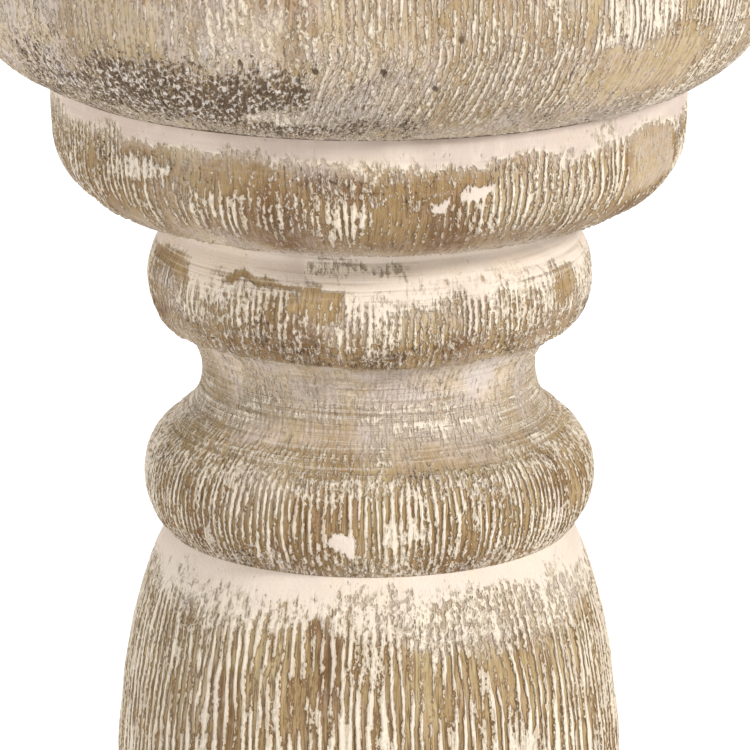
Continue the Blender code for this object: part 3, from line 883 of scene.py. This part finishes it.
def dress_baluster(s):
    s.bands([
        (0, 1.3, 0.3, 0.9, 0, 0, 0.9),
        (2.8, 1.15, 0.3, 0.8, 0.2, 0, 0.9),
        (4.5, 0.93, 0.3, 0.8, 0.5, 0, 0.8),
        (8.5, 0.66, 0.35, 0.6, 0.55, 0, 0.5),
        (11, 0.48, 0.4, 0.15, 0.2, 0, 0.05),
        (30, 0.47, 0.45, 0.15, 0.1, 0, 0),
        (60, 0.45, 0.45, 0.15, 0.1, 0, 0),
        (90, 0.48, 0.4, 0.2, 0.2, 0, 0.05),
        (100, 0.56, 0.4, 0.3, 0.5, 0.1, 0.3),
        (106, 0.75, 0.4, 0.5, 0.7, 0.2, 0.6),
        (113, 0.95, 0.4, 0.6, 0.3, 0.2, 0.6),
    ])
    s.patch(14, 18, 3.5, 15, cover=0.2, tone=0.15, mottle=0.4)
    s.patch(31, 16, 3, 13, cover=0.2, tone=0.2, mottle=0.4)
    s.patch(40, 18, 2.5, 10, cover=0.2, tone=0.25, mottle=0.4)
    s.patch(34, 8, 26, 7, soft=3, speck=0.6, mottle=0.6, cover=0.70, wash=0.7)
    s.patch(-12, 13, 3, 14, cover=0.3, tone=1.0)
    s.patch(-33, 22, 4, 14, cover=0.35, tone=0.8)
    s.patch(4, 2.5, 12, 3, cover=0.8, tone=0.5, wash=0.9)
    s.patch(-40, 5, 30, 3, soft=2, cover=0.95, mottle=0.9)
    s.wear(12, 12, 100)
    s.wear(6, 40, 100, -80, 80)


def dress_lower(s):
    s.bands([
        (0, 1.1, 0.3, 0.8, 0.2, 0.2, 0.5),
        (3, 1.0, 0.3, 0.6, 0.3, 0.2, 0.4),
        (7, 0.62, 0.4, 0.4, 0.3, 0, 0.2),
        (15, 0.6, 0.4, 0.3, 0.3, 0, 0.2),
        (18, 0.35, 0.7, 0.4, 0.5, 0.4, 0.7),
        (21, 0.28, 0.4, 0.8, 0.3, 0.8, 0.7),
        (32, 0.35, 0.4, 0.7, 0.4, 0.8, 0.7),
        (36, 0.6, 0.5, 0.4, 0.4, 0.3, 0.6),
        (40, 0.62, 0.4, 0.3, 0.2, 0, 0.1),
        (47, 0.6, 0.4, 0.4, 0.3, 0, 0.2),
        (52, 0.75, 0.5, 0.5, 0.5, 0.1, 0.8),
    ])
    s.wear(18, 4, 48, 0, 360)


def dress_base_collar(s):
    s.bands([
        (0, 1.05, 0.4, 0.8, 0.2, 0.3, 0.6),
        (3, 0.95, 0.4, 0.6, 0.4, 0.2, 0.5),
        (8, 0.58, 0.5, 0.3, 0.4, 0, 0.3),
        (15, 0.45, 0.5, 0.2, 0.3, 0, 0.2),
        (22, 0.5, 0.5, 0.2, 0.3, 0, 0.2),
        (26, 0.7, 0.5, 0.5, 0.4, 0.1, 0.6),
    ])
    s.wear(16, 3, 20, 0, 360)


def dress_foot(s):
    s.bands([
        (0, 0.95, 0.4, 0.8, 0.5, 0.2, 0.8),
        (4, 0.85, 0.4, 0.6, 0.6, 0.1, 0.6),
        (9, 0.55, 0.4, 0.3, 0.3, 0, 0.2),
        (22, 0.48, 0.4, 0.2, 0.2, 0, 0.1),
        (32, 0.46, 0.4, 0.2, 0.1, 0, 0.1),
        (36, 0.3, 0.6, 0.1, 0.3, 0.1, 0.3),
        (42, 0.2, 0.7, 0.1, 0.3, 0.1, 0.5),
    ])
    for azimuth in (25, 88, 151, 212, 268, 330):
        s.seam(azimuth, 0.5)
    s.wear(20, 5, 36, 0, 360)


# CAD node, radius in mm out to which its outline is left as it is, columns and rows of the mesh,
# dressing, and mm between streaks
SECTIONS = (
    ("candle_cup", 47.0, 1150, 76, dress_cup, 1.0),
    ("upper_collar", 13.0, 1080, 80, dress_collar, 1.1),
    ("neck_spindle", 13.0, 880, 104, dress_neck, 1.0),
    ("baluster", 13.0, 920, 100, dress_baluster, 1.3),
    ("lower_spindle", 13.0, 880, 100, dress_lower, 1.15),
    ("base_collar", 13.0, 1080, 60, dress_base_collar, 1.2),
    ("base_foot", 46.0, 1150, 76, dress_foot, 1.3),
)
for seed, section in enumerate(SECTIONS, 1):
    wood_section(*section, seed)


# ---- metal and felt pieces

METAL_COLUMNS = 72
PAN_ROWS = 150
PAN_COLUMNS = 240
FELT_COLUMNS = 360

# In mm where nothing else is said.
SPIKE_R = 3.2
SPIKE_HEAD_H = 1.6
SPIKE_BEVEL = 0.3
SPIKE_FOOT_H = 4.0  # straight stretch of the spike above its head
SPIKE_RINGS = 24  # along the taper
SPIKE_WAVER = 0.05
SPIKE_WAVES = 9.0  # radians of waver along the taper
SPIKE_NOSE = ((0.35, 0.4), (0.22, 0.12), (0.0, 0.0))  # radius, and depth below the tip
SCREW_NODES = ("pan_screw_1", "pan_screw_2", "pan_screw_3")
SCREW_TURNS = (20.0, 64.0, -12.0)  # degrees that each screw's cross is turned
SCREW_HEAD_H = 1.8
SCREW_SHANK_R = 1.6
SCREW_POINT_H = 2.0
SCREW_BEVEL = 0.12
SCREW_GAP = 0.12  # round each screw in its hole
CROSS_TOP = (1.65, 0.40)  # half length and half width of the recess at the head's face
CROSS_FOOT = (0.60, 0.25)
CROSS_DEPTH = 1.3
CROSS_OVER = 0.1  # how far its cutter stands over the head's face
FELT_EDGE_R = 0.7  # roundness of the felt's edges
FELT_NAP = 0.0012  # share of its radius that the felt's edge wavers by
FELT_NAP_LIMIT = 1.5  # times FELT_NAP, and the edge stays inside the CAD's
FELT_SHARES = (0.2, 0.4, 0.6, 0.8, 0.9, 1.0)  # rings on its faces


def solid_turned(name, run, columns, place=(0.0, 0.0)):
    """A body turned from (radius, height) points in mm, from axis to axis, and put at place in m."""
    body = bmesh.new()
    rings = []
    for radius, height in run[1:-1]:
        angles = [TAU * column / columns for column in range(columns)]
        spots = [(radius * math.sin(a), -radius * math.cos(a), height) for a in angles]
        rings.append([body.verts.new(Vector(spot) * MM) for spot in spots])
    foot = body.verts.new((0, 0, run[0][1] * MM))
    top = body.verts.new((0, 0, run[-1][1] * MM))
    for column in range(columns):
        beside = (column + 1) % columns
        body.faces.new((foot, rings[0][column], rings[0][beside]))
        body.faces.new((top, rings[-1][column], rings[-1][beside]))
        for lower, upper in zip(rings, rings[1:]):
            body.faces.new((lower[column], lower[beside], upper[beside], upper[column]))
    bmesh.ops.translate(body, verts=body.verts, vec=(*place, 0.0))
    bmesh.ops.recalc_face_normals(body, faces=body.faces)
    mesh = bpy.data.meshes.new(name)
    body.to_mesh(mesh)
    body.free()
    return mesh


def cut(piece, cutter_mesh):
    """Takes the cutter's shape out of the piece."""
    cutter = add_object("cutter", cutter_mesh)
    modifier = piece.modifiers.new("cut", "BOOLEAN")
    modifier.operation = "DIFFERENCE"
    modifier.solver = "EXACT"
    modifier.object = cutter
    apply_modifiers(piece)
    bpy.data.objects.remove(cutter, do_unlink=True)


def finish_piece(piece, node, material, sharp):
    """Shades a piece smooth up to an angle, and lets it stand for its CAD node."""
    piece.data.materials.clear()
    piece.data.materials.append(material)
    shade_smooth(piece.data, sharp)
    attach(piece, "root")
    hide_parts(node)


def screw_axis(node):
    """Where a screw stands, as x and y in m."""
    low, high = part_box(node)
    return (low[0] + high[0]) / 2, (low[1] + high[1]) / 2


def screw_run(node, gap):
    """The outline of a countersunk screw, or of its hole when gap is over zero."""
    low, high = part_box(node)
    bottom, top = low[2] / MM, high[2] / MM
    head_r = (high[0] - low[0]) / 2 / MM + gap
    shank_r = SCREW_SHANK_R + gap
    return [
        (0.0, bottom - gap),
        (shank_r, bottom + SCREW_POINT_H),
        (shank_r, top - SCREW_HEAD_H),
        (head_r, top - SCREW_BEVEL),
        (head_r - SCREW_BEVEL, top + 2 * gap),
        (0.0, top + 2 * gap),
    ]


def cross_arm(place, top, turn):
    """One tapered arm of the cross recess."""
    corners = [
        (x, y, height)
        for (long, wide), height in ((CROSS_FOOT, top - CROSS_DEPTH), (CROSS_TOP, top + CROSS_OVER))
        for x, y in ((-long, -wide), (long, -wide), (long, wide), (-long, wide))
    ]
    faces = [(3, 2, 1, 0), (4, 5, 6, 7), (0, 1, 5, 4), (1, 2, 6, 5), (2, 3, 7, 6), (3, 0, 4, 7)]
    c, s = math.cos(math.radians(turn)), math.sin(math.radians(turn))
    placed = [
        (place[0] + (c * x - s * y) * MM, place[1] + (s * x + c * y) * MM, z * MM)
        for x, y, z in corners
    ]
    mesh = bpy.data.meshes.new("cross_arm")
    mesh.from_pydata(placed, [], faces)
    return mesh


def build_screws():
    for node, turn in zip(SCREW_NODES, SCREW_TURNS):
        place = screw_axis(node)
        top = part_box(node)[1][2] / MM
        mesh = solid_turned(node + "_fine", screw_run(node, 0.0), METAL_COLUMNS, place)
        piece = add_object(node + "_fine", mesh)
        for arm in (0.0, 90.0):
            cut(piece, cross_arm(place, top, turn + arm))
        finish_piece(piece, node, SCREW_STEEL, 25)


def build_pan():
    """The sheet dish on the CAD outline, with a countersunk hole for each screw."""
    loop = outline_loop("drip_pan")
    rings = smooth_run(loop + loop[:1], PAN_ROWS)[:-1]
    following = np.roll(rings, -1, axis=0)
    if np.sum(rings[:, 0] * following[:, 1] - following[:, 0] * rings[:, 1]) > 0:
        rings = rings[::-1]  # clockwise, so that the faces look outwards
    piece = add_object("drip_pan_fine", turned_mesh("drip_pan_fine", rings, PAN_COLUMNS))
    for node in SCREW_NODES:
        hole = screw_run(node, SCREW_GAP)
        cut(piece, solid_turned("hole", hole, METAL_COLUMNS, screw_axis(node)))
    finish_piece(piece, "drip_pan", PAN_IRON, 32)


def build_spike():
    """A hand-filed taper: its sides waver a little, and its tip is blunted."""
    low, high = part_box("pricket_spike")
    head_r, bottom, tip = high[0] / MM, low[2] / MM, high[2] / MM
    shoulder = bottom + SPIKE_HEAD_H
    taper_foot = shoulder + SPIKE_FOOT_H
    (nose_r, nose_depth), *nose = SPIKE_NOSE
    bevelled_r = head_r - SPIKE_BEVEL
    run = [(0.0, bottom), (bevelled_r, bottom), (head_r, bottom + SPIKE_BEVEL)]
    run += [(head_r, shoulder - SPIKE_BEVEL), (bevelled_r, shoulder), (SPIKE_R, shoulder)]
    for index in range(SPIKE_RINGS + 1):
        share = index / SPIKE_RINGS
        radius = SPIKE_R * (1 - share) + nose_r * share
        waver = SPIKE_WAVER * math.sin(SPIKE_WAVES * share) * (1 - share)
        run.append((radius - abs(waver), taper_foot + share * (tip - nose_depth - taper_foot)))
    run += [(radius, tip - depth) for radius, depth in nose]
    piece = add_object("pricket_spike_fine", solid_turned("pricket_spike_fine", run, METAL_COLUMNS))
    finish_piece(piece, "pricket_spike", IRON, 40)


def felt_edge(inner, middle, headings):
    """Part of the rounded edge, about a middle height."""
    angles = np.radians(headings)
    return [(inner + FELT_EDGE_R * math.cos(a), middle + FELT_EDGE_R * math.sin(a)) for a in angles]


def build_felt():
    """The felt disc, its cut edge soft and uneven."""
    low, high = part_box("base_felt")
    bottom, top = low[2] / MM, high[2] / MM
    inner = high[0] / MM - FELT_EDGE_R
    run = [(0.0, bottom)] + [(inner * share, bottom) for share in FELT_SHARES]
    run += felt_edge(inner, bottom + FELT_EDGE_R, (-60, -30, 0))
    run += felt_edge(inner, top - FELT_EDGE_R, (0, 30, 60, 90))
    run += [(inner * share, top) for share in FELT_SHARES[-2::-1]] + [(0.0, top)]
    mesh = solid_turned("base_felt_fine", run, FELT_COLUMNS)
    rng = np.random.default_rng(21)
    nap = smooth_noise(rng, 1, FELT_COLUMNS, 1.0, 1.0, 1.0, 4.0)[0]
    for vertex in mesh.vertices:
        if math.hypot(vertex.co.x, vertex.co.y) > 0.95 * inner * MM:
            turned = math.atan2(vertex.co.x, -vertex.co.y) % TAU / TAU
            uneven = nap[int(turned * FELT_COLUMNS) % FELT_COLUMNS]
            shrink = 1 - FELT_NAP * (FELT_NAP_LIMIT + max(-FELT_NAP_LIMIT, uneven))
            vertex.co.x *= shrink
            vertex.co.y *= shrink
    finish_piece(add_object("base_felt_fine", mesh), "base_felt", FELT, 50)


build_pan()
build_spike()
build_screws()
build_felt()

SLOT_LOOKS = {"zinc_steel": ZINC, "felt": FELT, "aged_iron": IRON, "whitewashed_wood": WOOD}
for subpart in frame["record"]["subparts"]:
    for material_slot in frame["nodes"][subpart["node"]].material_slots:
        material_slot.material = SLOT_LOOKS[subpart["material_slot"]]


# ---- stage, lights and camera

FLOOR_HALF = 30.0  # m
FLOOR_COLOUR = (0.93, 0.93, 0.93, 1.0)
WORLD_COLOUR = (0.97, 0.98, 1.0, 1.0)
WORLD_STRENGTH = 0.38
# name, place, the spot it points at, width in m, and watts
LIGHTS = (
    ("key", (1.5, -1.3, 1.3), (0.0, 0.0, 0.2), 0.5, 45.0),
    ("side", (-2.0, -0.9, 0.9), (0.0, 0.0, 0.2), 1.2, 22.0),
    ("top", (0.0, 2.4, 3.0), (0.0, 2.2, 0.0), 2.4, 120.0),
)
CAMERA_TARGET = (0.00092, 0.0, 0.222)
CAMERA_DISTANCE = 0.923
CAMERA_TILT = 15.1  # degrees that it looks down
CAMERA_LENS = 288.0  # mm, on a sensor 36 mm wide


def build_stage():
    mesh = bpy.data.meshes.new("floor")
    h = FLOOR_HALF
    mesh.from_pydata([(-h, -h, 0), (h, -h, 0), (h, h, 0), (-h, h, 0)], [], [(0, 1, 2, 3)])
    floor = add_object("floor", mesh)
    fixed = {"Base Color": FLOOR_COLOUR, "Roughness": 0.9, "Specular IOR Level": 0.1}
    material = new_material("pale_floor", fixed)[0]
    mesh.materials.append(material)


def build_lights():
    world = bpy.data.worlds.new("studio")
    world.use_nodes = True
    background = world.node_tree.nodes["Background"]
    background.inputs["Color"].default_value = WORLD_COLOUR
    background.inputs["Strength"].default_value = WORLD_STRENGTH
    bpy.context.scene.world = world
    for name, place, aim, size, power in LIGHTS:
        data = bpy.data.lights.new(name, "AREA")
        data.shape = "DISK"
        data.size = size
        data.energy = power
        light = add_object(name, data)
        light.location = place
        light.rotation_euler = (Vector(aim) - Vector(place)).to_track_quat("-Z", "Y").to_euler()


def build_camera():
    tilt = math.radians(CAMERA_TILT)
    back = Vector((0.0, -math.cos(tilt), math.sin(tilt)))
    data = bpy.data.cameras.new("camera")
    data.sensor_width = 36.0
    data.lens = CAMERA_LENS
    camera = add_object("camera", data)
    camera.location = Vector(CAMERA_TARGET) + CAMERA_DISTANCE * back
    camera.rotation_euler = (math.pi / 2 - tilt, 0.0, 0.0)
    bpy.context.scene.camera = camera


build_stage()
build_lights()
build_camera()
bpy.context.scene.view_settings.view_transform = "Standard"
